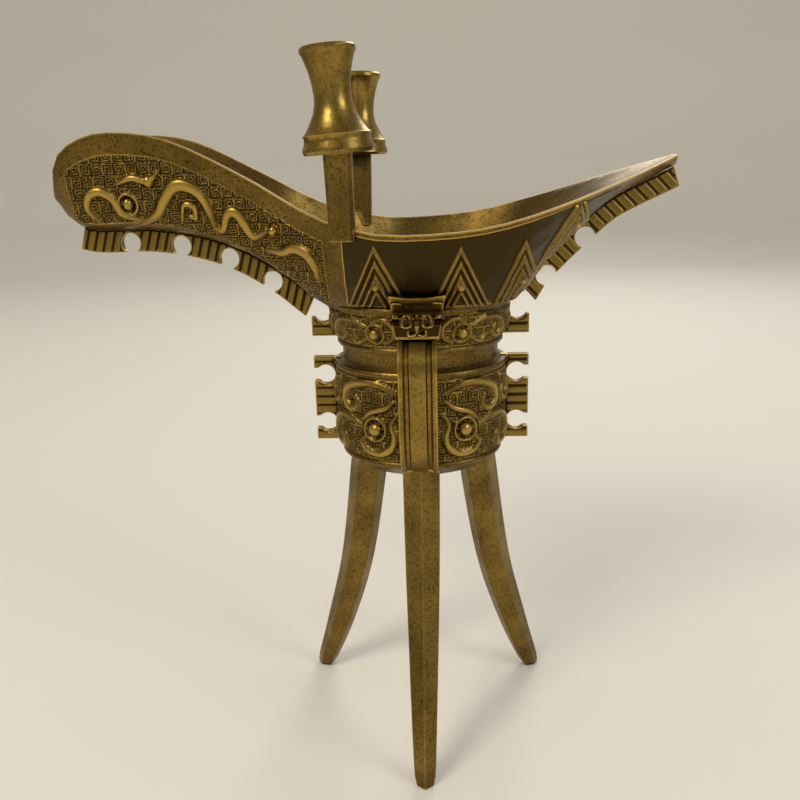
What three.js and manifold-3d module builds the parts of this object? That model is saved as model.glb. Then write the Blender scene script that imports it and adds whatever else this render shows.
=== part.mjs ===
// A bronze jue: a wine cup on three blade legs, with a channel spout, a pointed tail, two capped posts,
// an ox-headed strap handle and hooked flanges. Millimetres, +Z up, spout towards -X, handle towards -Y.
import * as THREE from "three";
import { mergeVertices } from "three/addons/utils/BufferGeometryUtils.js";
import Module from "manifold-3d";

const wasm = await Module();
wasm.setup();

// Driving dimensions of the vessel
const wall = 1.5; // wall of the cup, spout and tail
const ovalRatio = 0.92; // front-to-back width of the cup over its side-to-side width
const bellyRadius = 17.6;
const neckRadius = 18.6; // at the top of the neck band
const waistRadius = 16.2; // in the plain groove between the bands
const bottomHeight = 57.6; // underside of the cup above the floor
const bellyHeight = 23.4; // from the underside to the belly's top ring
const waistHeight = 4.7; // the plain groove
const neckHeight = 8.1; // the neck band
const mouthDepth = 14.8; // from the neck's top ring to the lowest point of the rim
const ringProud = 0.55; // how far the cast rings stand out
const ringWidth = 1.1;
const spoutReach = 73.9; // from the cup's axis to the spout's lip
const tailReach = 50.5; // from the cup's axis to the tail's point
const spoutRise = 19; // crest of the spout above the rim's lowest point
const tailRise = 12.3; // point of the tail above the rim's lowest point
const spoutHalfWidth = 11;
const mouthHalfWidth = 25.6;
const throatDepth = 6; // how far the mouth's floor line dips below the neck's top ring

// Driving dimensions of the pieces brazed to it
const seam = 0.15; // brazed joint all round every piece
const legWidth = 7.6;
const legDepth = 5.4;
const footWidth = 4.2;
const footDepth = 3.2;
const legInset = 4.4; // legs' centre line at the cup, in from the belly's side
const frontFootReach = 31.4;
const rearFootReach = 27;
const rearLegAngle = 25.6; // degrees behind the spout-to-tail line
const flangeThickness = 1.8;
const flangeProud = 5; // how far the side flanges stand out from the belly
const spoutFlangeDepth = 4.7;
const tailFlangeDepth = 4;
const hookRadius = 2.1; // round gaps between the flanges' hooks
const hookSlot = 1.5; // half the opening of such a gap
const hookPitch = 11.5;
const strapWidth = 7;
const strapThickness = 2.4;
const strapBow = 10.6; // handle's outer bow, out from the belly's radius
const headWidth = 10.4;
const headHeight = 7.4;
const postX = -13.1;
const postWidth = 5;
const postDepth = 4;
const postHeight = 15.6; // stem, from the rim to the cap
const postLean = 0.14; // outward lean, as a slope
const capHeight = 15.6;
const capSkirtRadius = 6.3;
const capWaistRadius = 3.2;
const capTopRadius = 4.75;

// Heights that follow
const bellyTop = bottomHeight + bellyHeight;
const waistTop = bellyTop + waistHeight;
const neckTop = waistTop + neckHeight;
const rimLow = neckTop + mouthDepth;

// Reaches that follow the belly
const legSetIn = bellyRadius - legInset;
const flangeReach = bellyRadius + flangeProud;
const strapReach = bellyRadius + strapBow;

// A smooth curve through points [x, value], returned as value(x)
function through(points) {
  const slope = points.map((p, i) => {
    const a = points[Math.max(0, i - 1)];
    const b = points[Math.min(points.length - 1, i + 1)];
    return (b[1] - a[1]) / (b[0] - a[0]);
  });
  return (x) => {
    let i = 0;
    while (i < points.length - 2 && x > points[i + 1][0]) i++;
    const [x0, y0] = points[i];
    const [x1, y1] = points[i + 1];
    const w = x1 - x0;
    const t = THREE.MathUtils.clamp((x - x0) / w, 0, 1);
    const t2 = t * t;
    const t3 = t2 * t;
    return (
      y0 * (2 * t3 - 3 * t2 + 1) + slope[i] * w * (t3 - 2 * t2 + t) +
      y1 * (3 * t2 - 2 * t3) + slope[i + 1] * w * (t3 - t2)
    );
  };
}

// Outlines of the mouth along X: rim height, rim half width and the keel under it.
// Spout places are shares of its reach, and tail places are shares of the tail's reach.
const alongSpout = (share) => -spoutReach * share;
const alongTail = (share) => tailReach * share;
const rimHeight = through([
  [alongSpout(1), rimLow + 0.39 * spoutRise],
  [alongSpout(0.965), rimLow + 0.73 * spoutRise],
  [alongSpout(0.89), rimLow + 0.93 * spoutRise],
  [alongSpout(0.8), rimLow + spoutRise],
  [alongSpout(0.65), rimLow + 0.92 * spoutRise],
  [alongSpout(0.46), rimLow + 0.58 * spoutRise],
  [alongSpout(0.27), rimLow + 0.19 * spoutRise],
  [alongSpout(0.12), rimLow + 0.02 * spoutRise],
  [alongTail(0), rimLow],
  [alongTail(0.25), rimLow + 0.08 * tailRise],
  [alongTail(0.5), rimLow + 0.33 * tailRise],
  [alongTail(0.75), rimLow + 0.66 * tailRise],
  [alongTail(1), rimLow + tailRise],
]);
const rimHalfWidth = through([
  [alongSpout(1), 0.42 * spoutHalfWidth],
  [alongSpout(0.97), 0.74 * spoutHalfWidth],
  [alongSpout(0.9), 0.94 * spoutHalfWidth],
  [alongSpout(0.8), spoutHalfWidth],
  [alongSpout(0.5), spoutHalfWidth],
  [alongSpout(0.36), spoutHalfWidth + 0.13 * (mouthHalfWidth - spoutHalfWidth)],
  [alongSpout(0.18), spoutHalfWidth + 0.66 * (mouthHalfWidth - spoutHalfWidth)],
  [alongSpout(0.06), spoutHalfWidth + 0.92 * (mouthHalfWidth - spoutHalfWidth)],
  [alongTail(0.12), mouthHalfWidth],
  [alongTail(0.4), 0.93 * mouthHalfWidth],
  [alongTail(0.65), 0.7 * mouthHalfWidth],
  [alongTail(0.85), 0.42 * mouthHalfWidth],
  [alongTail(1), 0.09 * mouthHalfWidth],
]);
const keelHeight = through([
  [alongSpout(1), rimLow + 0.31 * spoutRise],
  [alongSpout(0.97), rimLow + 0.13 * spoutRise],
  [alongSpout(0.92), rimLow + 0.04 * spoutRise],
  [alongSpout(0.75), rimLow + 0.03 * spoutRise],
  [alongSpout(0.6), neckTop + 0.92 * mouthDepth],
  [alongSpout(0.47), neckTop + 0.68 * mouthDepth],
  [alongSpout(0.36), neckTop + 0.34 * mouthDepth],
  [alongSpout(0.273), neckTop],
  [alongSpout(0.14), neckTop - 0.8 * throatDepth],
  [alongTail(0), neckTop - throatDepth],
  [alongTail(0.22), neckTop - 0.8 * throatDepth],
  [alongTail(0.385), neckTop],
  [alongTail(0.455), neckTop + 0.36 * mouthDepth],
  [alongTail(0.65), rimLow + 0.02 * tailRise],
  [alongTail(0.75), rimLow + 0.35 * tailRise],
  [alongTail(1), rimLow + 0.84 * tailRise],
]);
// How square the channel's section is: a U under the spout, a flared V under the tail
const sectionPower = through([
  [alongSpout(1), 3],
  [alongSpout(0.6), 4],
  [alongSpout(0.3), 3.4],
  [alongTail(0), 3],
  [alongTail(0.6), 2.2],
  [alongTail(1), 1.8],
]);

// A three.js geometry as a manifold solid, and back
function solid(geometry) {
  const bare = geometry.index ? geometry.toNonIndexed() : geometry.clone();
  bare.deleteAttribute("normal");
  bare.deleteAttribute("uv");
  const merged = mergeVertices(bare, 1e-4);
  return new wasm.Manifold(
    new wasm.Mesh({
      numProp: 3,
      vertProperties: merged.attributes.position.array,
      triVerts: new Uint32Array(merged.index.array),
    }),
  );
}
function geometryOf(made) {
  const mesh = made.getMesh();
  const geometry = new THREE.BufferGeometry();
  geometry.setAttribute("position", new THREE.BufferAttribute(mesh.vertProperties, 3));
  geometry.setIndex(new THREE.BufferAttribute(mesh.triVerts, 1));
  const faceted = geometry.toNonIndexed();
  faceted.computeVertexNormals();
  return faceted;
}

// A closed skin through rings of points that all turn the same way, capped at both ends.
// flat gives the caps' outline in two coordinates for each ring point.
function loft(rings, flat) {
  const count = rings[0].length;
  const points = rings.flat();
  const index = [];
  for (let i = 0; i + 1 < rings.length; i++)
    for (let j = 0; j < count; j++) {
      const a = i * count + j;
      const b = i * count + ((j + 1) % count);
      index.push(a, b, b + count, a, b + count, a + count);
    }
  const last = (rings.length - 1) * count;
  const cap = (ring) => {
    const outline = ring.map(flat);
    const faces = THREE.ShapeUtils.triangulateShape(outline, []);
    return THREE.ShapeUtils.isClockWise(outline) ? faces.map(([a, b, c]) => [c, b, a]) : faces;
  };
  for (const [a, b, c] of cap(rings[0])) index.push(c, b, a);
  for (const [a, b, c] of cap(rings.at(-1))) index.push(last + a, last + b, last + c);
  const geometry = new THREE.BufferGeometry().setFromPoints(points);
  geometry.setIndex(index);
  const made = solid(geometry);
  if (made.volume() > 0) return made;
  for (let i = 0; i < index.length; i += 3) [index[i], index[i + 1]] = [index[i + 1], index[i]];
  geometry.setIndex(index);
  return solid(geometry);
}

// The cup below the neck's top ring, as a filled oval solid. grow moves its skin outwards.
const ringHeights = [bottomHeight + 0.2 * bellyHeight, bellyTop, waistTop, neckTop];
function cupSolid(grow, withRings) {
  const inwards = grow < 0;
  const profile = [
    [0, bottomHeight - grow],
    [0.45 * bellyRadius, bottomHeight + 0.25 - grow],
    [0.75 * bellyRadius, bottomHeight + 0.075 * bellyHeight - grow],
    [0.92 * bellyRadius, bottomHeight + 0.18 * bellyHeight],
    [bellyRadius, bottomHeight + 0.36 * bellyHeight],
    [bellyRadius, bottomHeight + 0.8 * bellyHeight],
    [bellyRadius, bellyTop],
    [waistRadius, bellyTop + 0.25 * waistHeight],
    [waistRadius, waistTop - 0.25 * waistHeight],
    [waistRadius + 0.5, waistTop],
    [waistRadius + 0.75 * (neckRadius - waistRadius), waistTop + 0.45 * neckHeight],
    [neckRadius, neckTop],
  ];
  const points = profile.map(([r, z], i) => new THREE.Vector2(i ? Math.max(r + grow, 0.1) : 0, z));
  const top = inwards ? neckTop + 0.5 * mouthDepth : neckTop;
  if (inwards) points.push(new THREE.Vector2(neckRadius + grow, top));
  points.push(new THREE.Vector2(0, top));
  let made = solid(new THREE.LatheGeometry(points, 40).rotateX(Math.PI / 2).scale(1, ovalRatio, 1));
  if (!withRings) return made;
  for (const z of ringHeights) made = made.add(ringSolid(z, grow));
  return made;
}

// The outer radius of the cup at a height, read off the same outline
const cupRadius = through([
  [bottomHeight, 0.75 * bellyRadius],
  [bottomHeight + 0.18 * bellyHeight, 0.92 * bellyRadius],
  [bottomHeight + 0.36 * bellyHeight, bellyRadius],
  [bellyTop, bellyRadius],
  [bellyTop + 0.5 * waistHeight, waistRadius],
  [waistTop, waistRadius + 0.5],
  [neckTop, neckRadius],
]);

// One cast ring round the cup, of a low six-sided section
function ringSolid(z, grow) {
  const inner = cupRadius(z) - 0.5 * wall;
  const outer = cupRadius(z) + ringProud + grow;
  const half = ringWidth / 2 + grow;
  const points = [
    [inner, -half], [outer - 0.3, -half], [outer, -0.3 * half], [outer, 0.3 * half],
    [outer - 0.3, half], [inner, half], [inner, -half],
  ].map(([r, dz]) => new THREE.Vector2(r, z + dz));
  return solid(new THREE.LatheGeometry(points, 40).rotateX(Math.PI / 2).scale(1, ovalRatio, 1));
}

// The mouth, spout and tail as a filled solid from the keel up to the rim. grow moves its skin
// outwards, and lift raises its top.
const stations = 34;
const sectionSteps = 14;
function mouthSolid(grow, lift) {
  const rings = [];
  for (let i = 0; i <= stations; i++) {
    const share = i / stations;
    const even = THREE.MathUtils.lerp(-1, 1, share);
    const eased = 0.45 * even + 0.55 * Math.sin((even * Math.PI) / 2); // closer stations at the ends
    const middle = (tailReach - spoutReach) / 2;
    const half = (tailReach + spoutReach) / 2;
    const along = middle + half * eased;
    const x = middle + (half + grow) * eased;
    const high = rimHeight(along);
    const low = keelHeight(along);
    const wide = Math.max(rimHalfWidth(along) + grow, 0.3);
    const power = sectionPower(along);
    const ring = [];
    for (let j = -sectionSteps / 2; j <= sectionSteps / 2; j++) {
      const part = Math.sin((j / (sectionSteps / 2)) * (Math.PI / 2));
      const rise = Math.abs(part) ** power;
      ring.push(new THREE.Vector3(x, wide * part, low - grow + (high - low + grow) * rise));
    }
    ring.push(new THREE.Vector3(x, wide, high + lift), new THREE.Vector3(x, -wide, high + lift));
    rings.push(ring);
  }
  return loft(rings, (p) => new THREE.Vector2(p.y, p.z));
}

const vesselFilled = (grow) => mouthSolid(grow, 0.05 + grow).add(cupSolid(grow, true));
function vesselShell(grow) {
  const hollow = mouthSolid(-wall - grow, 30).add(cupSolid(-wall - grow, false));
  return vesselFilled(grow).subtract(hollow);
}
const cutter = vesselFilled(seam); // what every brazed piece is fitted against

// One blade leg: a five-sided sword section on a path that bows outwards to its foot
function leg(angle, footReach) {
  const top = bottomHeight + 0.22 * bellyHeight;
  const reach = through([
    [0, footReach],
    [0.18 * top, footReach - 0.13 * (footReach - legSetIn)],
    [0.5 * top, legSetIn + 0.36 * (footReach - legSetIn)],
    [bottomHeight, legSetIn],
    [top, legSetIn - 0.4],
  ]);
  const width = through([
    [0, 0.8 * footWidth],
    [0.03 * top, footWidth],
    [0.12 * top, 1.12 * footWidth],
    [0.6 * top, 0.9 * legWidth],
    [top, legWidth],
  ]);
  const depth = through([
    [0, 0.8 * footDepth],
    [0.03 * top, footDepth],
    [0.5 * top, 0.85 * legDepth],
    [top, legDepth],
  ]);
  const rings = [];
  for (const share of [0, 0.03, 0.07, 0.13, 0.2, 0.3, 0.4, 0.5, 0.6, 0.7, 0.8, 0.9, 1]) {
    const z = share * top;
    const w = width(z) / 2;
    const d = depth(z) / 2;
    const section = [[0, d], [-w, 0.1 * d], [-0.8 * w, -d], [0.8 * w, -d], [w, 0.1 * d]];
    rings.push(section.map(([side, out]) => {
      const along = new THREE.Vector3(reach(z) + out, side, z);
      return along.applyAxisAngle(new THREE.Vector3(0, 0, 1), angle);
    }));
  }
  return loft(rings, (p) => new THREE.Vector2(p.x, p.y)).subtract(cutter);
}

// A flat plate in the XZ plane, centred on Y
function plate(outline, thickness) {
  const shape = new THREE.Shape(outline.map(([x, z]) => new THREE.Vector2(x, z)));
  const geometry = new THREE.ExtrudeGeometry(shape, { depth: thickness, bevelEnabled: false });
  return solid(geometry.translate(0, 0, -thickness / 2).rotateX(Math.PI / 2));
}

// The round gap between two hooks, with its narrower way out along direction
function hookGap(x, z, directionX, directionZ) {
  const along = new THREE.Vector2(directionX, directionZ).normalize();
  const round = solid(
    new THREE.CylinderGeometry(hookRadius, hookRadius, 3 * flangeThickness, 20).translate(x, 0, z),
  );
  const far = 3 * hookRadius;
  const slot = plate(
    [[0, -hookSlot], [far, -hookSlot * 0.8], [far, hookSlot * 0.8], [0, hookSlot]].map(([a, b]) => [
      x + along.x * a - along.y * b,
      z + along.y * a + along.x * b,
    ]),
    3 * flangeThickness,
  );
  return round.add(slot);
}

// A hooked flange under the spout or tail: a strip along the keel from one place to another,
// with round gaps a pitch apart. side is -1 for the spout and 1 for the tail.
function keelFlange(side, from, to, depth, gapCount, firstGap) {
  const steps = 28;
  const inner = [];
  const outer = [];
  for (let i = 0; i <= steps; i++) {
    const x = THREE.MathUtils.lerp(from, to, i / steps);
    const z = keelHeight(x);
    const slope = (keelHeight(x + 0.2) - keelHeight(x - 0.2)) / 0.4;
    const down = new THREE.Vector2(slope, -1).normalize();
    inner.push([x, z + wall]);
    outer.unshift([x + down.x * depth, z + down.y * depth]);
  }
  let made = plate([...inner, ...outer], flangeThickness);
  let x = firstGap;
  for (let gap = 0; gap < gapCount; gap++) {
    const slope = (keelHeight(x + 0.2) - keelHeight(x - 0.2)) / 0.4;
    const down = new THREE.Vector2(slope, -1).normalize();
    const set = seam + 0.7 + hookRadius; // leaves a strip along the keel
    made = made.subtract(hookGap(x + down.x * set, keelHeight(x) + down.y * set, down.x, down.y));
    x += (side * hookPitch) / Math.hypot(1, slope);
  }
  return made.subtract(cutter);
}

// The upper side flange: one hook that turns up beside the neck band
function neckFlange() {
  const low = waistTop + 0.6;
  const outline = [[waistRadius - 2, low], [flangeReach, low], [flangeReach, low + 4], [waistRadius - 2, low + 4]];
  return plate(outline, flangeThickness).subtract(hookGap(flangeReach - 2.4, low + 5, 0, 1));
}
// The lower side flange: two hooks and a middle tooth beside the belly band
function bellyFlange() {
  const low = bottomHeight + 0.26 * bellyHeight;
  const high = bellyTop + 0.8;
  const outline = [[bellyRadius - 2, low], [flangeReach, low], [flangeReach, high], [bellyRadius - 2, high]];
  const inset = flangeReach - 2.5;
  return plate(outline, flangeThickness)
    .subtract(hookGap(inset, low + 0.21 * (high - low), 1, 0))
    .subtract(hookGap(inset, low + 0.79 * (high - low), 1, 0));
}
// A side flange turned to its place round the oval cup and fitted to it
function fitted(made, angle) {
  const squash = Math.abs(Math.sin(angle)) > 0.5 ? bellyRadius * (1 - ovalRatio) : 0;
  return made.translate([-squash, 0, 0]).rotate([0, 0, (angle * 180) / Math.PI]).subtract(cutter);
}

// The strap handle: a channelled section swept down its bow in the plane X = 0
const headLow = neckTop - 0.5 * headHeight;
const headHigh = headLow + headHeight;
const neckFront = neckRadius * ovalRatio;
function strap() {
  const low = bottomHeight + 0.24 * bellyHeight;
  const path = new THREE.CatmullRomCurve3([
    new THREE.Vector3(0, -neckFront - 3.6, headLow - seam),
    new THREE.Vector3(0, -strapReach + 1.2, headLow - 3.2),
    new THREE.Vector3(0, -strapReach + strapThickness / 2, headLow - 9),
    new THREE.Vector3(0, -strapReach + 1.6, low + 7.5),
    new THREE.Vector3(0, -strapReach + 5.4, low + 2),
    new THREE.Vector3(0, -bellyRadius * ovalRatio + 1, low + 0.4),
  ]);
  const w = strapWidth / 2;
  const t = strapThickness / 2;
  const section = [
    [-w, -t], [w, -t], [w, t], [0.78 * w, t], [0.66 * w, 0.45 * t], [0.5 * w, 0.45 * t], [0.42 * w, 0.8 * t],
    [-0.42 * w, 0.8 * t], [-0.5 * w, 0.45 * t], [-0.66 * w, 0.45 * t], [-0.78 * w, t], [-w, t],
  ];
  const rings = [];
  const steps = 18;
  for (let i = 0; i <= steps; i++) {
    const at = path.getPointAt(i / steps);
    const along = path.getTangentAt(i / steps);
    const out = new THREE.Vector3(0, -Math.abs(along.z), along.y * Math.sign(along.z || -1));
    if (i === 0) out.set(0, -1, 0); // the top end is cut level under the head
    out.normalize();
    rings.push(section.map(([side, n]) => new THREE.Vector3(side, at.y + out.y * n, at.z + out.z * n)));
  }
  const across = (p) => new THREE.Vector2(p.x, p.y + 0.3 * p.z);
  const limit = solid(new THREE.BoxGeometry(30, 60, 30).translate(0, -strapReach, headLow - seam - 15));
  return loft(rings, across)
    .intersect(limit.add(limit.translate([0, 0, -20])))
    .subtract(cutter);
}

// The ox head over the strap: a wedge that widens to the horns, with brow, eyes and muzzle
function oxHead() {
  const back = -neckFront + 3;
  const face = -neckFront - 7.2;
  const wide = headWidth / 2;
  const narrow = strapWidth / 2 + 0.4;
  const outline = new THREE.Shape([
    new THREE.Vector2(-narrow, headLow), new THREE.Vector2(narrow, headLow),
    new THREE.Vector2(narrow + 0.5, headLow + 0.35 * headHeight), new THREE.Vector2(wide, headHigh),
    new THREE.Vector2(0.35 * wide, headHigh - 0.5), new THREE.Vector2(-0.35 * wide, headHigh - 0.5),
    new THREE.Vector2(-wide, headHigh), new THREE.Vector2(-narrow - 0.5, headLow + 0.35 * headHeight),
  ]);
  const depth = back - face;
  const block = new THREE.ExtrudeGeometry(outline, { depth, bevelEnabled: false })
    .rotateX(Math.PI / 2)
    .translate(0, back, 0);
  let made = solid(block);
  // the forehead slopes back towards the horns
  const slope = solid(new THREE.BoxGeometry(30, 12, 12).rotateX(0.42).translate(0, face - 3.6, headHigh));
  made = made.subtract(slope);
  const eyeSeat = 0.36 * wide;
  for (const side of [-1, 1]) {
    const eye = new THREE.SphereGeometry(0.95, 12, 8).translate(side * eyeSeat, face + 0.25, headLow + 0.46 * headHeight);
    made = made.add(solid(eye));
    const nostril = new THREE.SphereGeometry(0.55, 10, 6).translate(side * 0.5 * eyeSeat, face, headLow + 0.14 * headHeight);
    made = made.subtract(solid(nostril));
  }
  return made.subtract(cutter);
}

// A post that straddles the rim beside the spout. side is -1 at the front and 1 at the back.
const postTop = rimHeight(postX) + postHeight;
const postSeatY = rimHalfWidth(postX) - 0.4;
const shellCutter = vesselShell(seam);
function postStem(side) {
  const rings = [];
  const foot = rimHeight(postX) - 2.4;
  for (const z of [foot, foot + 2.6, foot + 6, postTop]) {
    const share = (z - foot) / (postTop - foot);
    const w = (postWidth * (0.9 + 0.1 * share)) / 2;
    const d = (postDepth * (1 - 0.08 * share)) / 2;
    const chamfer = 0.7;
    const outline = [
      [-w, -d + chamfer], [-w + chamfer, -d], [w - chamfer, -d], [w, -d + chamfer],
      [w, d - chamfer], [w - chamfer, d], [-w + chamfer, d], [-w, d - chamfer],
    ];
    const y = side * (postSeatY + postLean * (z - foot));
    rings.push(outline.map(([a, b]) => new THREE.Vector3(postX + a, y + b, z)));
  }
  return loft(rings, (p) => new THREE.Vector2(p.x, p.y)).subtract(shellCutter);
}
// A waisted cap with a flared skirt, square to the floor, on top of its post
function postCap(side) {
  const z = (share) => postTop + seam + share * capHeight;
  const profile = new THREE.SplineCurve([
    new THREE.Vector2(capSkirtRadius, z(0.05)), new THREE.Vector2(0.76 * capSkirtRadius, z(0.24)),
    new THREE.Vector2(0.63 * capSkirtRadius, z(0.42)), new THREE.Vector2(capWaistRadius, z(0.54)),
    new THREE.Vector2(capWaistRadius + 0.35, z(0.74)), new THREE.Vector2(0.9 * capTopRadius, z(0.91)),
    new THREE.Vector2(capTopRadius, z(0.955)),
  ]);
  const points = [
    new THREE.Vector2(0, z(0)), new THREE.Vector2(capSkirtRadius - 0.4, z(0)), ...profile.getPoints(14),
    new THREE.Vector2(capTopRadius - 0.3, z(1)), new THREE.Vector2(0, z(0.985)),
  ];
  const y = side * (postSeatY + postLean * (postTop - rimHeight(postX) + 2.4));
  return solid(new THREE.LatheGeometry(points, 24).rotateX(Math.PI / 2)).translate([postX, y, 0]);
}

// Finishes
const dark = new THREE.MeshStandardMaterial({ color: "#5a4a2a", roughness: 0.42, metalness: 1 });
const worn = new THREE.MeshStandardMaterial({ color: "#94743a", roughness: 0.36, metalness: 1 });
const bright = new THREE.MeshStandardMaterial({ color: "#b08a3c", roughness: 0.3, metalness: 1 });

const cup = new THREE.Group();
function add(name, made, material) {
  const mesh = new THREE.Mesh(geometryOf(made), material);
  mesh.name = name;
  cup.add(mesh);
}
const back = Math.PI / 2;
const rear = THREE.MathUtils.degToRad(rearLegAngle);
add("cup_bowl", vesselShell(0), dark);
add("front_leg", leg(-Math.PI / 2, frontFootReach), worn);
add("spout_side_leg", leg(Math.PI - rear, rearFootReach), worn);
add("tail_side_leg", leg(rear, rearFootReach), worn);
add("handle_strap", strap(), bright);
add("handle_ox_head", oxHead(), bright);
add("front_post", postStem(-1), worn);
add("back_post", postStem(1), worn);
add("front_post_cap", postCap(-1), bright);
add("back_post_cap", postCap(1), bright);
add("spout_flange", keelFlange(-1, alongSpout(0.94), alongSpout(0.285), spoutFlangeDepth, 4, alongSpout(0.39)), dark);
add("tail_flange", keelFlange(1, alongTail(0.405), alongTail(0.985), tailFlangeDepth, 2, alongTail(0.47)), dark);
add("spout_side_neck_flange", fitted(neckFlange(), Math.PI), dark);
add("tail_side_neck_flange", fitted(neckFlange(), 0), dark);
add("back_neck_flange", fitted(neckFlange(), back), dark);
add("spout_side_belly_flange", fitted(bellyFlange(), Math.PI), dark);
add("tail_side_belly_flange", fitted(bellyFlange(), 0), dark);
add("back_belly_flange", fitted(bellyFlange(), back), dark);

// The origin is on the floor under the middle of the whole cup
const box = new THREE.Box3().setFromObject(cup);
const centre = box.getCenter(new THREE.Vector3());
cup.position.set(-centre.x, -centre.y, -box.min.z);

export default cup;
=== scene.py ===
import math
import bmesh
import bpy
import numpy as np
from mathutils import Matrix, Vector
from mathutils.bvhtree import BVHTree


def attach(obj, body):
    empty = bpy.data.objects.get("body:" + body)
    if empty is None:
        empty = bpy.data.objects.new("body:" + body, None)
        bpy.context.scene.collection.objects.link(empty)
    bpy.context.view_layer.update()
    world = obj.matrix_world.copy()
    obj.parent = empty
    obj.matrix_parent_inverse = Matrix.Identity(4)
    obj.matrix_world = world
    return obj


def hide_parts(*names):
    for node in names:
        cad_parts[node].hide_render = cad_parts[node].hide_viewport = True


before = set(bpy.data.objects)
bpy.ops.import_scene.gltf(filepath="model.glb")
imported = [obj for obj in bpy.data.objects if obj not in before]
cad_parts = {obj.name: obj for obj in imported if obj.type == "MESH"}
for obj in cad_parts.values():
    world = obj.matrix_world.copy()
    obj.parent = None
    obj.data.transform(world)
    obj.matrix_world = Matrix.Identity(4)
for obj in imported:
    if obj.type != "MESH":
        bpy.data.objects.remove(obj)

bl_info = {
    "name": "Antiqued brass jue cup",
    "version": (1, 0, 0),
    "blender": (4, 2, 0),
    "location": "View3D > Sidebar > Jue cup",
    "description": "Builds the cup's castings, its cast relief and its studio stage",
    "category": "Object",
}

MM = 0.001
SHIFT = np.array([11.232, 1.759, 0.0])  # from the cup's own axis to the frame's origin, in mm
OVAL = 0.92
NECK_TOP = 93.8
RIM_LOW = 108.6
BELLY_RADIUS = 17.6
REAR_LEG_ANGLE = math.radians(25.6)  # behind the line from spout to tail
HALF_FLANGE = 0.9  # half the flanges' thickness
SPOUT_ROOT = -20  # from here on the spout is drawn in
SPOUT_SHARE = 0.963
TALLEST = 0.9  # relief height in mm that is rubbed fully bright
SEAT = 0.09  # lift of a relief's lowest ground above the casting, in mm
SUNK = 0.15  # how far a relief's rim goes into the casting
PROBE = 2.5  # distance in mm from which the casting's skin is looked for


# Sizes and colours

class JueSizes(bpy.types.PropertyGroup):
    relief: bpy.props.FloatProperty(
        name="Relief height", description="How far the main relief stands out",
        default=0.9 * MM, unit="LENGTH")
    ground: bpy.props.FloatProperty(
        name="Ground height", description="Height of the fine spirals between the main relief",
        default=0.28 * MM, unit="LENGTH")
    spiral_pitch: bpy.props.FloatProperty(
        name="Spiral pitch", description="Size of one square spiral", default=2.5 * MM, unit="LENGTH")
    score_pitch: bpy.props.FloatProperty(
        name="Score pitch", description="Distance between score lines on the flanges",
        default=1.9 * MM, unit="LENGTH")
    edge_round: bpy.props.FloatProperty(
        name="Edge rounding", description="Soft cast edge of each piece", default=0.3 * MM, unit="LENGTH")


def hex_colour(text):
    """An sRGB hex colour as the linear values a shader takes."""
    parts = [int(text[i:i + 2], 16) / 255 for i in (1, 3, 5)]
    return tuple(p / 12.92 if p <= 0.04045 else ((p + 0.055) / 1.055) ** 2.4 for p in parts)


class JueColours(bpy.types.PropertyGroup):
    # the patina colour also serves as painted shade in corners and where parts meet
    patina: bpy.props.FloatVectorProperty(
        name="Patina", description="Dark film left in the recesses", subtype="COLOR", size=3,
        default=hex_colour("#140E07"))
    brown: bpy.props.FloatVectorProperty(
        name="Brown brass", description="Tarnished brass on the flats", subtype="COLOR", size=3,
        default=hex_colour("#54401C"))
    # the rubbed brass colour also serves as a painted highlight on the outer edges
    gold: bpy.props.FloatVectorProperty(
        name="Rubbed brass", description="Brass rubbed bright on the high spots", subtype="COLOR", size=3,
        default=hex_colour("#CFAB52"))
    paper: bpy.props.FloatVectorProperty(
        name="Floor", description="Pale studio floor", subtype="COLOR", size=3,
        default=hex_colour("#DDD8CC"))


# Curves that the cup's shape follows, in mm from its axis

def through(points):
    """A smooth curve through (place, value) points, for arrays of places."""
    xs = np.array([p[0] for p in points], float)
    ys = np.array([p[1] for p in points], float)
    low = np.maximum(np.arange(len(xs)) - 1, 0)
    high = np.minimum(np.arange(len(xs)) + 1, len(xs) - 1)
    slopes = (ys[high] - ys[low]) / (xs[high] - xs[low])

    def value(x):
        i = np.clip(np.searchsorted(xs, x) - 1, 0, len(xs) - 2)
        w = xs[i + 1] - xs[i]
        t = np.clip((x - xs[i]) / w, 0, 1)
        return (ys[i] * (2 * t**3 - 3 * t**2 + 1) + slopes[i] * w * (t**3 - 2 * t**2 + t)
                + ys[i + 1] * (3 * t**2 - 2 * t**3) + slopes[i + 1] * w * (t**3 - t**2))
    return value


def spout(share):
    return -73.9 * share


def tail(share):
    return 50.5 * share


rim = through([(spout(1), RIM_LOW + 7.4), (spout(0.965), RIM_LOW + 13.9), (spout(0.89), RIM_LOW + 17.7),
               (spout(0.8), RIM_LOW + 19), (spout(0.65), RIM_LOW + 17.5), (spout(0.46), RIM_LOW + 11),
               (spout(0.27), RIM_LOW + 3.6), (spout(0.12), RIM_LOW + 0.4), (0, RIM_LOW),
               (tail(0.25), RIM_LOW + 1), (tail(0.5), RIM_LOW + 4.1), (tail(0.75), RIM_LOW + 8.1),
               (tail(1), RIM_LOW + 12.3)])
half_width = through([(spout(1), 4.6), (spout(0.97), 8.1), (spout(0.9), 10.3), (spout(0.8), 11),
                      (spout(0.5), 11), (spout(0.36), 12.9), (spout(0.18), 20.6), (spout(0.06), 24.4),
                      (tail(0.12), 25.6), (tail(0.4), 23.8), (tail(0.65), 17.9), (tail(0.85), 10.8),
                      (tail(1), 2.3)])
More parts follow.
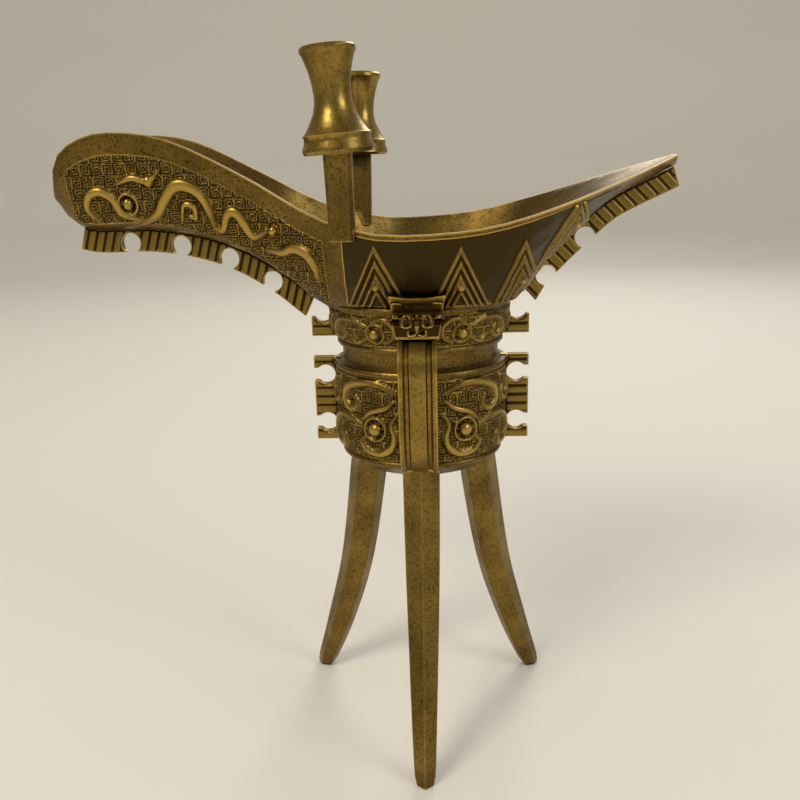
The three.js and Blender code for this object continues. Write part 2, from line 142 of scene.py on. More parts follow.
keel = through([(spout(1), RIM_LOW + 5.9), (spout(0.97), RIM_LOW + 2.5), (spout(0.92), RIM_LOW + 0.8),
                (spout(0.75), RIM_LOW + 0.6), (spout(0.6), NECK_TOP + 13.6), (spout(0.47), NECK_TOP + 10.1),
                (spout(0.36), NECK_TOP + 5), (spout(0.273), NECK_TOP), (spout(0.14), NECK_TOP - 4.8),
                (0, NECK_TOP - 6), (tail(0.22), NECK_TOP - 4.8), (tail(0.385), NECK_TOP),
                (tail(0.455), NECK_TOP + 5.3), (tail(0.65), RIM_LOW + 0.2), (tail(0.75), RIM_LOW + 4.3),
                (tail(1), RIM_LOW + 10.3)])
squareness = through([(spout(1), 3), (spout(0.6), 4), (spout(0.3), 3.4), (0, 3), (tail(0.6), 2.2),
                      (tail(1), 1.8)])


def cup_side(angle, z):
    """Points on the cup's oval wall at angles from the handle."""
    r = np.interp(z, [57.6, 61.8, 66, 81, 82.2, 84.5, 85.7, 89.3, NECK_TOP],
                  [13.2, 16.2, 17.6, 17.6, 16.2, 16.2, 16.7, 18, 18.6])
    return np.stack([r * np.sin(angle), -OVAL * r * np.cos(angle), z], -1)


def mouth_side(side, x, z):
    """Points on the flaring mouth, spout or tail. side is -1 at the handle and 1 at the back."""
    rise = np.clip((z - keel(x)) / (rim(x) - keel(x)), 0, 1)
    return np.stack([x, side * half_width(x) * rise ** (1 / squareness(x)), z], -1)


# Relief as heights in mm over flat coordinates in mm

def smooth_line(points, steps=6):
    """A rounder line through the same points."""
    p = np.array(points, float)
    t = np.arange(len(p))
    fine = np.linspace(0, len(p) - 1, steps * (len(p) - 1) + 1)
    return np.stack([through(list(zip(t, p[:, k])))(fine) for k in (0, 1)], -1)


def ridge(u, v, points, width, height):
    """A rounded ridge that follows a line, and is lower towards both its ends."""
    line = smooth_line(points)
    best = np.zeros_like(u)
    for i in range(len(line) - 1):
        a, b = line[i], line[i + 1]
        d = b - a
        t = np.clip(((u - a[0]) * d[0] + (v - a[1]) * d[1]) / max(d @ d, 1e-9), 0, 1)
        away = np.hypot(u - a[0] - t * d[0], v - a[1] - t * d[1])
        share = (i + t) / (len(line) - 1)
        thin = 0.6 + 0.4 * np.sin(np.pi * np.clip(share, 0.02, 0.98))
        best = np.maximum(best, height * thin * np.sqrt(np.clip(1 - (away / (width * thin)) ** 2, 0, 1)))
    return best


def dome(u, v, centre, radius, height):
    away = np.hypot(u - centre[0], v - centre[1]) / radius
    return height * np.sqrt(np.clip(1 - away**2, 0, 1))


def ring(u, v, centre, radius, width, height):
    away = np.abs(np.hypot(u - centre[0], v - centre[1]) - radius) / width
    return height * np.sqrt(np.clip(1 - away**2, 0, 1))


def square_spirals(u, v, pitch, height):
    """Rows of square spirals that turn alternate ways, the ground between the main relief."""
    column, row = np.floor(u / pitch), np.floor(v / pitch)
    a = u / pitch - column - 0.5
    b = v / pitch - row - 0.5
    a = np.where((column + row) % 2 == 0, a, -a)
    out = np.maximum(np.abs(a), np.abs(b))
    phase = out * 5 + np.arctan2(b, a) / (2 * np.pi)
    return height * (0.5 + 0.5 * np.tanh(2.2 * np.sin(2 * np.pi * phase)))


def nested_blade(u, v, centre, base, half, tall, width, height):
    """A pointed blade of nested lines with a small boss near its foot."""
    made = np.zeros_like(u)
    for share in (1.0, 0.76, 0.52, 0.28):
        level = np.abs(u - centre) / half + (v - base) / tall
        slant = half * tall / math.hypot(half, tall)
        away = np.abs(level - share) * slant
        made = np.maximum(made, height * np.sqrt(np.clip(1 - (away / width) ** 2, 0, 1)))
    return np.maximum(made, dome(u, v, (centre, base + 0.36 * tall), 0.9, 1.8 * height))


def belly_relief(w, z, sizes):
    tall = sizes.relief / MM
    made = square_spirals(w, z, sizes.spiral_pitch / MM, sizes.ground / MM)
    for line, width in [
        ([(4.6, 77.6), (8.5, 79.1), (13, 79), (16.8, 77.4), (17.6, 74.9), (15.6, 73.3), (13.4, 74.4),
          (14.2, 76)], 1.05),
        ([(5, 75.8), (7, 74.4), (10, 73.4), (12, 71.8)], 0.75),
        ([(4.4, 73.2), (5.6, 71.2), (5, 68.8), (5.6, 66.6), (8, 65), (11, 65.2), (12.6, 67),
          (11.4, 68.4)], 0.9),
        ([(12.8, 70.2), (17, 71.6), (21.4, 70.8), (23.8, 68), (22.6, 65.2), (19.6, 64.8), (18.4, 66.8),
          (20, 68)], 1.0),
        ([(19.6, 79.2), (22.6, 78.4), (24.2, 75.8), (22.4, 73.8), (20.4, 74.8), (21, 76.8)], 0.85),
    ]:
        made = np.maximum(made, ridge(w, z, line, width, tall))
    made = np.maximum(made, dome(w, z, (9.2, 69.9), 1.5, 1.5 * tall))
    return np.maximum(made, ring(w, z, (9.2, 69.9), 2.35, 0.42, 0.8 * tall))


def neck_relief(w, z, sizes):
    tall = 0.85 * sizes.relief / MM
    made = square_spirals(w, z, 0.9 * sizes.spiral_pitch / MM, sizes.ground / MM)
    for line in [
        [(10.2, 90.6), (13.6, 91.8), (17.6, 91.4), (19.6, 89.2), (18, 87.6), (16.2, 88.7), (16.8, 89.9)],
        [(6.4, 87.6), (4.6, 88.8), (4.6, 91), (6.6, 92.2), (9, 91.6)],
        [(21.4, 91.8), (23.6, 91), (24.4, 88.8), (22.6, 87.6)],
        [(10.6, 88.2), (12.8, 87.4), (14.6, 88.2)],
    ]:
        made = np.maximum(made, ridge(w, z, line, 0.7, tall))
    made = np.maximum(made, dome(w, z, (8.4, 89.3), 1.15, 1.5 * tall))
    return np.maximum(made, ring(w, z, (8.4, 89.3), 1.85, 0.34, 0.7 * tall))


def blade_relief(x, z, sizes):
    made = np.zeros_like(x)
    for centre, half, tall in [(-7.4, 5.4, 11.4), (8, 5.1, 11), (19.6, 5, 11.6), (29.6, 4.4, 8)]:
        base = np.maximum(NECK_TOP + 1.1, keel(np.full_like(x, centre)) + 0.6)
        made = np.maximum(made, nested_blade(x, z, centre, base, half, tall, 0.36, 0.5))
    return made


def dragon_relief(x, z, sizes):
    tall = 1.25 * sizes.relief / MM
    made = square_spirals(x, z, 0.94 * sizes.spiral_pitch / MM, sizes.ground / MM)
    for line, width in [
        ([(-64.4, 111.4), (-65.9, 113.9), (-64.8, 116.4), (-62.4, 117), (-60.2, 115.6), (-59, 112.8),
          (-55.3, 111.4)], 1.0),
        ([(-55.5, 110.6), (-51.6, 112.6), (-49.7, 115), (-47.5, 117.4), (-45.2, 117.8), (-42.6, 116.5),
          (-40.9, 113.7), (-40.1, 110.3)], 1.3),
        ([(-46.6, 111.4), (-45.6, 114.2), (-43.6, 113.8), (-43.6, 111.8), (-44.9, 111.9)], 0.7),
        ([(-40.1, 109.7), (-38.3, 109.4), (-36.8, 112.3), (-35, 112.4), (-33.5, 110.3), (-31.9, 107.9),
          (-29.1, 108.9)], 1.1),
        ([(-29.4, 105.3), (-26, 104.9), (-23.5, 105.8), (-20.8, 105), (-19, 102.4), (-18.6, 99.6)], 1.1),
        ([(-58.6, 118.4), (-55.4, 119.4), (-52.1, 118.7), (-50.2, 120.2)], 0.8),
    ]:
        made = np.maximum(made, ridge(x, z, line, width, tall))
    for centre, radius in [((-57.2, 114.6), 1.15), ((-52.1, 118.7), 1.2), ((-27.4, 109.1), 1.0)]:
        made = np.maximum(made, dome(x, z, centre, radius, 1.3 * tall))
    return np.maximum(made, ring(x, z, (-57.2, 114.6), 1.9, 0.4, 0.7 * tall))


def face_relief(x, z, sizes):
    """The ox's face: curled horns, brow, long nose and slit eyes."""
    a = np.abs(x)
    made = ridge(a, z, [(1.2, 95.2), (3, 96.4), (4.4, 96.4), (4.6, 95), (3.6, 94.6)], 0.6, 0.7)
    made = np.maximum(made, ridge(a, z, [(0.5, 94.3), (1.6, 94.9), (3.2, 94.2)], 0.45, 0.6))
    made = np.maximum(made, ridge(a, z, [(0, 95), (0, 93), (0, 91.4)], 0.6, 0.8))
    made = np.maximum(made, ring(a, z, (1.9, 93.3), 1.05, 0.28, 0.45))
    return np.maximum(made, ridge(a, z, [(0.3, 90.9), (1.4, 90.8), (1.6, 91.6)], 0.4, 0.5))


# Turning heights into meshes that lie on the castings


def drawn_in(points):
    """The spout a little shorter than its plain solid, as the photograph's outline has it."""
    x = points[..., :1]
    shorter = SPOUT_ROOT + (x - SPOUT_ROOT) * SPOUT_SHARE
    return np.concatenate([np.where(x < SPOUT_ROOT, shorter, x), points[..., 1:]], -1)


def surface_tree(node):
    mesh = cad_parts[node].data
    return BVHTree.FromPolygons([v.co[:] for v in mesh.vertices], [p.vertices[:] for p in mesh.polygons])


def outward(points):
    """Unit normals of a grid of points."""
    du, dv = np.gradient(points, axis=0), np.gradient(points, axis=1)
    n = np.cross(du, dv)
    return n / np.maximum(np.linalg.norm(n, axis=-1, keepdims=True), 1e-9)


def blurred(grid, times):
    for _ in range(times):
        padded = np.pad(grid, 1, mode="edge")
        grid = (padded[:-2, 1:-1] + padded[2:, 1:-1] + padded[1:-1, :-2] + padded[1:-1, 2:] + 4 * grid) / 8
    return grid


def cast_relief(name, node, points, heights, towards, material):
    """A grid of heights laid on a casting. towards is a rough outward direction for each point."""
    normals = outward(points)
    normals *= np.sign(np.sum(normals * towards, axis=-1, keepdims=True) + 1e-9)
    tree = surface_tree(node)
    rows, columns = heights.shape
    lift = np.full(heights.shape, np.nan)
    for i in range(rows):
        for j in range(columns):
            start = Vector((points[i, j] + SHIFT + PROBE * normals[i, j]) * MM)
            _, _, _, far = tree.ray_cast(start, Vector(-normals[i, j]), 2 * PROBE * MM)
            if far is not None:
                lift[i, j] = PROBE - far / MM
    hit = ~np.isnan(lift)
    lift = blurred(np.where(hit, lift, 0), 5)
    near = np.pad(hit, 1, constant_values=False)
    inner = near[:-2, 1:-1] & near[2:, 1:-1] & near[1:-1, :-2] & near[1:-1, 2:] & hit
    raised = np.where(inner, heights + SEAT, -SUNK) + lift
    placed = (drawn_in(points + normals * raised[..., None]) + SHIFT) * MM
    mesh = bpy.data.meshes.new(name)
    faces = []
    for i in range(rows - 1):
        for j in range(columns - 1):
            if hit[i:i + 2, j:j + 2].all():
                a = i * columns + j
                faces.append((a, a + 1, a + columns + 1, a + columns))
    mesh.from_pydata(placed.reshape(-1, 3).tolist(), [], faces)
    level = mesh.attributes.new("relief", "FLOAT", "POINT")
    level.data.foreach_set("value", np.clip(heights / TALLEST, 0, 1).astype(np.float32).ravel())
    mesh.polygons.foreach_set("use_smooth", [True] * len(mesh.polygons))
    piece = bpy.data.objects.new(name, mesh)
    bpy.context.scene.collection.objects.link(piece)
    used = {corner for face in faces for corner in face}
    if len(used) < len(mesh.vertices):
        drop_unused(mesh, used)
    piece.data.materials.append(material)
    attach(piece, "root")


def drop_unused(mesh, used):
    """Takes out the corners that no face uses."""
    work = bmesh.new()
    work.from_mesh(mesh)
    work.verts.ensure_lookup_table()
    bmesh.ops.delete(work, geom=[v for v in work.verts if v.index not in used], context="VERTS")
    bmesh.ops.recalc_face_normals(work, faces=work.faces)
    work.to_mesh(mesh)
    work.free()


# Materials

def add_node(tree, kind, settings=None, links=None):
    """One shader node with its settings, and links to it as {input: other output}."""
    node = tree.nodes.new(kind)
    for key, value in (settings or {}).items():
        if hasattr(node, key):
            setattr(node, key, value)
        else:
            node.inputs[key].default_value = value
    for key, output in (links or {}).items():
        tree.links.new(output, node.inputs[key])
    return node


def add_mix(tree, factor, first, second):
    """A colour between two, by a factor. Each colour is a value or another node's output."""
    node = tree.nodes.new("ShaderNodeMix")
    node.data_type = "RGBA"
    tree.links.new(factor, node.inputs["Factor"])
    for k, colour in ((6, first), (7, second)):
        if isinstance(colour, bpy.types.NodeSocket):
            tree.links.new(colour, node.inputs[k])
        else:
            node.inputs[k].default_value = (*colour, 1)
    return node.outputs[2]


def add_range(tree, value, low, high, start=0.0, end=1.0):
    """Maps a value's range to another one, and holds it at the ends."""
    settings = {"From Min": low, "From Max": high, "To Min": start, "To Max": end}
    return add_node(tree, "ShaderNodeMapRange", settings, {"Value": value}).outputs["Result"]


def antique_brass(name, colours, rubbed, use_relief, roughness):
    """Cast brass with a dark patina in its recesses and painted shade in its corners and where parts meet, a
    mottled brown film on its flats, and gold edges that are partly worn brass and partly a painted highlight.
    """
    material = bpy.data.materials.new(name)
    material.use_nodes = True
    tree = material.node_tree
    shader = tree.nodes["Principled BSDF"]
    place = add_node(tree, "ShaderNodeTexCoord").outputs["Object"]
    # blotches about 8 mm across, where the brown film is thick or worn
    settings = {"Scale": 120.0, "Detail": 6.0, "Roughness": 0.65}
    blotch = add_node(tree, "ShaderNodeTexNoise", settings, {"Vector": place})
    # speckle about half a millimetre across, like old polish caught in the casting's grain
    settings = {"Scale": 1900.0, "Detail": 4.0, "Roughness": 0.7}
    speckle = add_node(tree, "ShaderNodeTexNoise", settings, {"Vector": place})
    worn = add_range(tree, blotch.outputs["Fac"], 0.35, 0.75, 0.25 * rubbed, 0.8 * rubbed)
    film = add_mix(tree, worn, tuple(colours.brown), tuple(colours.gold))
    specks = add_range(tree, speckle.outputs["Fac"], 0.5, 0.62, 0.0, 0.75 - 0.35 * rubbed)
    film = add_mix(tree, specks, film, tuple(colours.patina))
    # patina and painted shade: an occlusion mask darkens corners and the places where parts meet towards the
    # patina colour; edge wear and painted highlight: outer edges are brightened towards the gold colour
    corner = add_node(tree, "ShaderNodeAmbientOcclusion", {"Distance": 2.4 * MM, "samples": 8})
    edge = add_node(tree, "ShaderNodeAmbientOcclusion", {"Distance": 0.5 * MM, "samples": 8, "inside": True})
    # painted highlight, partly real edge wear: outer edges within half a millimetre turn towards the gold colour
    bright = add_range(tree, edge.outputs["AO"], 0.55, 0.85, 0.85, 0.0)
    film = add_mix(tree, bright, film, tuple(colours.gold))
    # painted shade mask: the more a point is occluded within 2.4 mm, the darker it gets
    dark = add_range(tree, corner.outputs["AO"], 0.35, 0.8, 0.9, 0.0)
    if use_relief:
        # the relief's height turns its grooves black and its crests gold
        level = add_node(tree, "ShaderNodeAttribute", {"attribute_name": "relief"}).outputs["Fac"]
        film = add_mix(tree, add_range(tree, level, 0.7, 1.0, 0.0, 0.6), film, tuple(colours.gold))
        film = add_mix(tree, add_range(tree, level, 0.1, 0.5, 0.93, 0.0), film, tuple(colours.patina))
    # painted shade, partly real patina: the occlusion mask darkens corners and joins towards the patina colour
    film = add_mix(tree, dark, film, tuple(colours.patina))
    tree.links.new(film, shader.inputs["Base Color"])
    shader.inputs["Metallic"].default_value = 0.92
    matt = add_range(tree, blotch.outputs["Fac"], 0.3, 0.75, roughness + 0.14, roughness - 0.06)
    tree.links.new(matt, shader.inputs["Roughness"])
    # the casting's fine grain, under a tenth of a millimetre high
    grain = add_node(tree, "ShaderNodeTexNoise", {"Scale": 900.0, "Detail": 4.0}, {"Vector": place})
    settings = {"Strength": 0.35, "Distance": 0.08 * MM}
    bump = add_node(tree, "ShaderNodeBump", settings, {"Height": grain.outputs["Fac"]})
    tree.links.new(bump.outputs["Normal"], shader.inputs["Normal"])
    return material


def brass(kind):
    """One of the cup's finishes, made when it is first asked for."""
    name, rubbed, use_relief, roughness = {
        "patinated": ("Patinated cast brass", 0.35, False, 0.36),
        "worn": ("Worn cast brass", 0.5, False, 0.34),
        "rubbed": ("Rubbed cast brass", 0.85, False, 0.3),
        "carved": ("Patinated brass relief", 0.5, True, 0.33),
    }[kind]
    found = bpy.data.materials.get(name)
    return found or antique_brass(name, bpy.context.scene.jue_colours, rubbed, use_relief, roughness)


# The pieces

def soft_casting(node, kind, rounding):
    """A copy of a node's solid with its edges softened."""
    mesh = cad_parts[node].data.copy()
    piece = bpy.data.objects.new(node + "_casting", mesh)
    bpy.context.scene.collection.objects.link(piece)
    corners = np.empty(len(mesh.vertices) * 3)
    mesh.vertices.foreach_get("co", corners)
    corners = drawn_in(corners.reshape(-1, 3) / MM - SHIFT) + SHIFT
    mesh.vertices.foreach_set("co", (corners * MM).ravel())
    finish_piece(piece, kind, rounding, node)


def finish_piece(piece, kind, rounding, node):
    """Gives a new piece its metal, its soft cast edges and its place in the frame."""
    mesh = piece.data
    mesh.materials.clear()
    mesh.materials.append(brass(kind))
    bpy.ops.object.select_all(action="DESELECT")
    piece.select_set(True)
    bpy.context.view_layer.objects.active = piece
    bpy.ops.object.mode_set(mode="EDIT")
    bpy.ops.mesh.select_all(action="SELECT")
    bpy.ops.mesh.remove_doubles(threshold=0.01 * MM)
    bpy.ops.mesh.tris_convert_to_quads(face_threshold=0.2, shape_threshold=0.2)
    bpy.ops.object.mode_set(mode="OBJECT")
    if mesh.has_custom_normals:
        bpy.ops.mesh.customdata_custom_splitnormals_clear()
    bpy.ops.object.shade_smooth_by_angle(angle=math.radians(38))
    if rounding:
        bevel = piece.modifiers.new("Soft cast edges", "BEVEL")
        bevel.width = rounding
        bevel.segments = 3
        bevel.limit_method = "ANGLE"
        bevel.angle_limit = math.radians(40)
        bevel.harden_normals = True
    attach(piece, "root")
    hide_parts(node)


def ring_mesh(name, rings):
    """A closed mesh through rings of points in mm from the cup's axis."""
    count = len(rings[0])
    points = ((np.array(rings, float) + SHIFT) * MM).reshape(-1, 3)
    faces = [tuple(range(count))[::-1], tuple(range(len(points) - count, len(points)))]
    for i in range(len(rings) - 1):
        for j in range(count):
            a, b = i * count + j, i * count + (j + 1) % count
            faces.append((a, b, b + count, a + count))
    mesh = bpy.data.meshes.new(name)
    mesh.from_pydata(points.tolist(), [], faces)
    mesh.update()
    piece = bpy.data.objects.new(name, mesh)
    bpy.context.scene.collection.objects.link(piece)
    return piece


def blade_leg(node, angle, sizes):
    """A rear leg: a sabre blade with its broad side to the front, curved outwards to its foot."""
    top = 62.7
    reach = through([(0, 28.6), (0.2 * top, 23.9), (0.5 * top, 18.2), (57.6, 13.8), (top, 13.2)])
    depth = through([(0, 4), (0.03 * top, 5), (0.25 * top, 7), (0.55 * top, 8), (top, 8.8)])
    width = through([(0, 3.2), (0.03 * top, 4), (0.3 * top, 4.8), (top, 6)])
    rings = []
    for z in np.linspace(0, 1, 30) * top:
        d, w, out = depth(z) / 2, width(z) / 2, reach(z)
        section = [(out + d, 0), (out + 0.1 * d, w), (out - d, 0.75 * w), (out - d, -0.75 * w),
                   (out + 0.1 * d, -w)]
        cosine, sine = math.cos(angle), math.sin(angle)
        rings.append([(a * cosine - b * sine, a * sine + b * cosine, z) for a, b in section])
    finish_piece(ring_mesh(node + "_casting", rings), "worn", 1.4 * sizes.edge_round, node)


def waisted_cap(node, side, lean, sizes):
    """A post's cap: a skirt with an upright hem, a narrow waist and a flared flat top."""
    base = 122.7
    profile = [(5.9, 0), (6.25, 0.5), (6.2, 1.1), (5.85, 1.9), (5.75, 2.7), (5.95, 3.1), (5.5, 3.5),
               (4.6, 4.9), (3.7, 6.6), (3.3, 8.1), (3.2, 9.4), (3.3, 11), (3.6, 13), (4.1, 14.8),
               (4.5, 15.9), (4.78, 16.3), (4.75, 16.9), (4.45, 17.2), (3.9, 17.1), (2, 17.05)]
    turns = np.linspace(0, 2 * np.pi, 72, endpoint=False)
    rings = []
    for r, z in profile:
        middle_x = -13.1 + lean * (z - 4)
        middle_y = side * (22.85 + 0.04 * (z - 4))
        rings.append([(middle_x + r * math.cos(t), middle_y + r * math.sin(t), base + z - lean * r * math.cos(t))
                      for t in turns])
    piece = ring_mesh(node + "_casting", rings)
    for face in piece.data.polygons:
        face.use_smooth = True
    finish_piece(piece, "rubbed", 0, node)


def soft_castings(names, kind, rounding):
    for name in names:
        soft_casting(name, kind, rounding)


class JUE_OT_vessel(bpy.types.Operator):
    """Builds the cup with its spout and tail"""
    bl_idname = "jue.vessel"
    bl_label = "Vessel"

    def execute(self, context):
        soft_casting("cup_bowl", "patinated", 0)
        return {"FINISHED"}


class JUE_OT_legs(bpy.types.Operator):
    """Builds the three blade legs"""
    bl_idname = "jue.legs"
    bl_label = "Legs"

    def execute(self, context):
        sizes = context.scene.jue_sizes
        soft_casting("front_leg", "worn", sizes.edge_round)
        blade_leg("spout_side_leg", math.pi - REAR_LEG_ANGLE, sizes)
        blade_leg("tail_side_leg", REAR_LEG_ANGLE, sizes)
        return {"FINISHED"}


class JUE_OT_posts(bpy.types.Operator):
    """Builds the two posts and their waisted caps"""
    bl_idname = "jue.posts"
    bl_label = "Posts and caps"

    def execute(self, context):
        rounding = context.scene.jue_sizes.edge_round
        soft_castings(["front_post", "back_post"], "worn", rounding)
        waisted_cap("front_post_cap", -1, -0.07, context.scene.jue_sizes)
        waisted_cap("back_post_cap", 1, 0.02, context.scene.jue_sizes)
        return {"FINISHED"}


class JUE_OT_handle(bpy.types.Operator):
    """Builds the strap handle and the ox's head with its face"""
    bl_idname = "jue.handle"
    bl_label = "Handle"

    def execute(self, context):
        sizes = context.scene.jue_sizes
        soft_castings(["handle_strap", "handle_ox_head"], "rubbed", 0.7 * sizes.edge_round)
        x, z = np.meshgrid(np.linspace(-4.9, 4.9, 90), np.linspace(90.5, 97.2, 66), indexing="ij")
        points = np.stack([x, np.full_like(x, -24.2) + 0.6 * np.clip(z - 94, 0, 9), z], -1)
        cast_relief("handle_ox_face", "handle_ox_head", points, face_relief(x, z, sizes),
                    np.array([0, -1, 0]), brass("carved"))
        return {"FINISHED"}


def scored_side(node, side, x_range, z_range, line_phase, sizes):
    """Score lines across one side of a flange that stands in the plane of the spout and tail."""
    count = [max(int(abs(r[1] - r[0]) / 0.2), 12) for r in (x_range, z_range)]
    x, z = np.meshgrid(np.linspace(*x_range, count[0]), np.linspace(*z_range, count[1]), indexing="ij")
    pitch = sizes.score_pitch / MM
    wave = np.abs((line_phase(x, z) / pitch) % 1 - 0.5) * pitch
    heights = 0.26 * np.clip((wave - 0.16) / 0.2, 0, 1)
    points = np.stack([x, np.full_like(x, side * HALF_FLANGE), z], -1)
    cast_relief(f"{node}_scores_{'front' if side < 0 else 'back'}", node, points, heights,
                np.array([0, side, 0]), brass("carved"))


class JUE_OT_flanges(bpy.types.Operator):
    """Builds the hooked flanges and the score lines across them"""
    bl_idname = "jue.flanges"
    bl_label = "Flanges"

    def execute(self, context):
        sizes = context.scene.jue_sizes
        names = ["spout_flange", "tail_flange"]
        for where in ("spout_side", "tail_side", "back"):
            names += [f"{where}_neck_flange", f"{where}_belly_flange"]
        soft_castings(names, "patinated", 0.6 * sizes.edge_round)
        for side in (-1, 1):
            scored_side("spout_flange", side, (-70.5, -19.5), (88, 110), lambda x, z: x - 0.3 * z, sizes)
            scored_side("tail_flange", side, (19.5, 51.5), (88, 120), lambda x, z: 0.62 * (x + z), sizes)
            for where, low, high in (("spout_side", -22.7, -17.8), ("tail_side", 17.8, 22.7)):
                scored_side(f"{where}_belly_flange", side, (low, high), (63.4, 82.1), lambda x, z: z, sizes)
                scored_side(f"{where}_neck_flange", side, (low, high), (86, 90.6), lambda x, z: z, sizes)
        return {"FINISHED"}


class JUE_OT_bands(bpy.types.Operator):
    """Builds the neck and belly bands of masks over square spirals"""
    bl_idname = "jue.bands"
    bl_label = "Bands"

    def execute(self, context):
        sizes = context.scene.jue_sizes
        bands = [("neck_band", neck_relief, 86.6, 92.9, 34), ("belly_band", belly_relief, 63.1, 80.2, 92)]
        for name, relief, low, high, rows in bands:
            for quarter, start in enumerate(np.arange(4) * math.pi / 2):
                inset = 0.062 if name == "belly_band" else 0.06
                angle, z = np.meshgrid(np.linspace(start + inset, start + math.pi / 2 - inset, 150),
                                       np.linspace(low, high, rows), indexing="ij")
                turn = angle - start
                w = BELLY_RADIUS * (turn if quarter % 2 == 0 else math.pi / 2 - turn)
                points = cup_side(angle, z)
                cast_relief(f"{name}_{quarter + 1}", "cup_bowl", points, relief(w, z, sizes),
                            points * np.array([1, 1, 0]), brass("carved"))
        return {"FINISHED"}


def mouth_patch(name, relief, x_range, columns, rows, foot, margin, sizes):
    """Relief on both sides of the mouth, between the keel or neck and a plain margin under the rim."""
    for side, where in ((-1, "front"), (1, "back")):
        x, share = np.meshgrid(np.linspace(*x_range, columns), np.linspace(0, 1, rows), indexing="ij")
        low = np.maximum(keel(x) + foot, NECK_TOP + 0.8)
        high = rim(x) - margin
        z = low + (np.maximum(high, low + 0.5) - low) * share
        points = mouth_side(side, x, z)
        cast_relief(f"{name}_{where}", "cup_bowl", points, relief(x, z, sizes), np.array([0, side, 0]),
                    brass("carved"))


class JUE_OT_mouth_relief(bpy.types.Operator):
    """Builds the spout's dragons and the blades that rise from the neck to the rim"""
    bl_idname = "jue.mouth_relief"
    bl_label = "Dragons and blades"

    def execute(self, context):
        sizes = context.scene.jue_sizes
        mouth_patch("spout_dragon", dragon_relief, (-69.5, -17.4), 300, 84, 1.3, 3.9, sizes)
        mouth_patch("rising_blades", blade_relief, (-13.6, 38), 270, 74, 1.2, 0.9, sizes)
        return {"FINISHED"}


# The stage

CAMERA_AT = (15.095, -172.198, 121.487)  # mm, where the photograph was taken from
CAMERA_AXES = ((0.99882, 0.04092, -0.02601), (0.01377, 0.27501, 0.96134), (0.04649, -0.96057, 0.27413))


def add_lamp(name, place, size, power, colour):
    light = bpy.data.lights.new(name, "AREA")
    light.shape = "DISK"
    light.size = size
    light.energy = power
    light.color = hex_colour(colour)
    lamp = bpy.data.objects.new(name, light)
    lamp.location = place
    lamp.rotation_euler = (Vector((0, 0, 0.08)) - Vector(place)).to_track_quat("-Z", "Y").to_euler()
    bpy.context.scene.collection.objects.link(lamp)


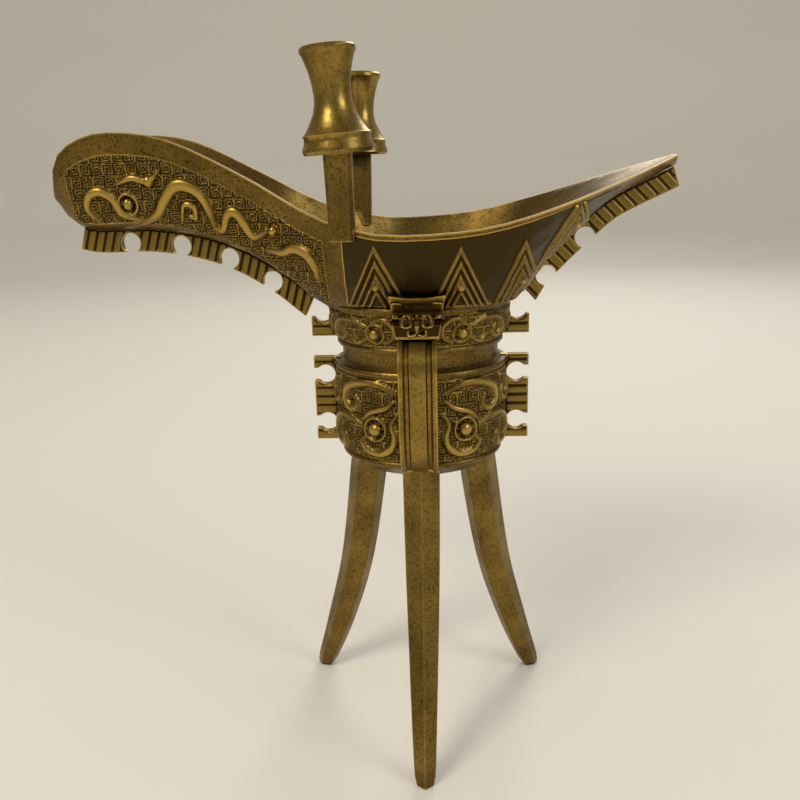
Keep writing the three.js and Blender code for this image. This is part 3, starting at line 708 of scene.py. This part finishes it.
class JUE_OT_stage(bpy.types.Operator):
    """Sets the pale floor, the soft studio lamps and the camera"""
    bl_idname = "jue.stage"
    bl_label = "Stage"

    def execute(self, context):
        scene = context.scene
        scene.view_settings.view_transform = "Standard"
        sweep = [(-1.5, -0.0002), (0.8, -0.0002), (1.0, 0.03), (1.15, 0.12), (1.24, 0.3), (1.26, 2.2)]
        floor_mesh = bpy.data.meshes.new("studio_floor")
        points = [(x, y, z) for y, z in sweep for x in (-3, 3)]
        strips = [(k, k + 1, k + 3, k + 2) for k in range(0, 2 * len(sweep) - 2, 2)]
        floor_mesh.from_pydata(points, [], strips)
        floor_mesh.polygons.foreach_set("use_smooth", [True] * len(floor_mesh.polygons))
        floor = bpy.data.objects.new("studio_floor", floor_mesh)
        scene.collection.objects.link(floor)
        paper = bpy.data.materials.new("Pale paper")
        paper.use_nodes = True
        shader = paper.node_tree.nodes["Principled BSDF"]
        shader.inputs["Base Color"].default_value = (*scene.jue_colours.paper, 1)
        shader.inputs["Roughness"].default_value = 0.9
        floor.data.materials.append(paper)
        world = bpy.data.worlds.new("Studio")
        world.use_nodes = True
        back = world.node_tree.nodes["Background"]
        back.inputs["Color"].default_value = (*hex_colour("#D9D7D2"), 1)
        # the room is bright on the floor and darker in the metal, so the brass keeps its depth
        path = add_node(world.node_tree, "ShaderNodeLightPath")
        strength = add_range(world.node_tree, path.outputs["Is Glossy Ray"], 0.0, 1.0, 0.8, 0.32)
        world.node_tree.links.new(strength, back.inputs["Strength"])
        scene.world = world
        add_lamp("key_lamp", (-0.35, -0.45, 0.62), 0.3, 2.6, "#FFF4E2")
        add_lamp("fill_lamp", (0.55, -0.35, 0.4), 0.35, 1.3, "#F3F6FF")
        add_lamp("rim_lamp", (0.15, 0.6, 0.55), 0.4, 2.0, "#FFFFFF")
        camera = bpy.data.cameras.new("photo_camera")
        camera.sensor_width = 36
        camera.lens = 38.05
        camera.clip_start = 0.005
        holder = bpy.data.objects.new("photo_camera", camera)
        turn = Matrix(CAMERA_AXES).transposed().to_4x4()
        holder.matrix_world = Matrix.Translation(Vector(CAMERA_AT) * MM) @ turn
        scene.collection.objects.link(holder)
        scene.camera = holder
        return {"FINISHED"}


class JUE_PT_panel(bpy.types.Panel):
    """Sizes, colours and a button for each part of the cup"""
    bl_label = "Jue cup"
    bl_idname = "JUE_PT_panel"
    bl_space_type = "VIEW_3D"
    bl_region_type = "UI"
    bl_category = "Jue cup"

    def draw(self, context):
        for group in (context.scene.jue_sizes, context.scene.jue_colours):
            for key in group.__annotations__:
                self.layout.prop(group, key)
        for step in OPERATORS:
            self.layout.operator(step.bl_idname)


OPERATORS = (JUE_OT_vessel, JUE_OT_legs, JUE_OT_posts, JUE_OT_handle, JUE_OT_flanges, JUE_OT_bands,
             JUE_OT_mouth_relief, JUE_OT_stage)
CLASSES = (JueSizes, JueColours, *OPERATORS, JUE_PT_panel)


def register():
    for made in CLASSES:
        bpy.utils.register_class(made)
    bpy.types.Scene.jue_sizes = bpy.props.PointerProperty(type=JueSizes)
    bpy.types.Scene.jue_colours = bpy.props.PointerProperty(type=JueColours)


def unregister():
    del bpy.types.Scene.jue_colours
    del bpy.types.Scene.jue_sizes
    for made in reversed(CLASSES):
        bpy.utils.unregister_class(made)


def main():
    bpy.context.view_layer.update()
    register()
    bpy.ops.jue.vessel()
    bpy.ops.jue.legs()
    bpy.ops.jue.posts()
    bpy.ops.jue.handle()
    bpy.ops.jue.flanges()
    bpy.ops.jue.bands()
    bpy.ops.jue.mouth_relief()
    bpy.ops.jue.stage()


if __name__ == "__main__":
    main()
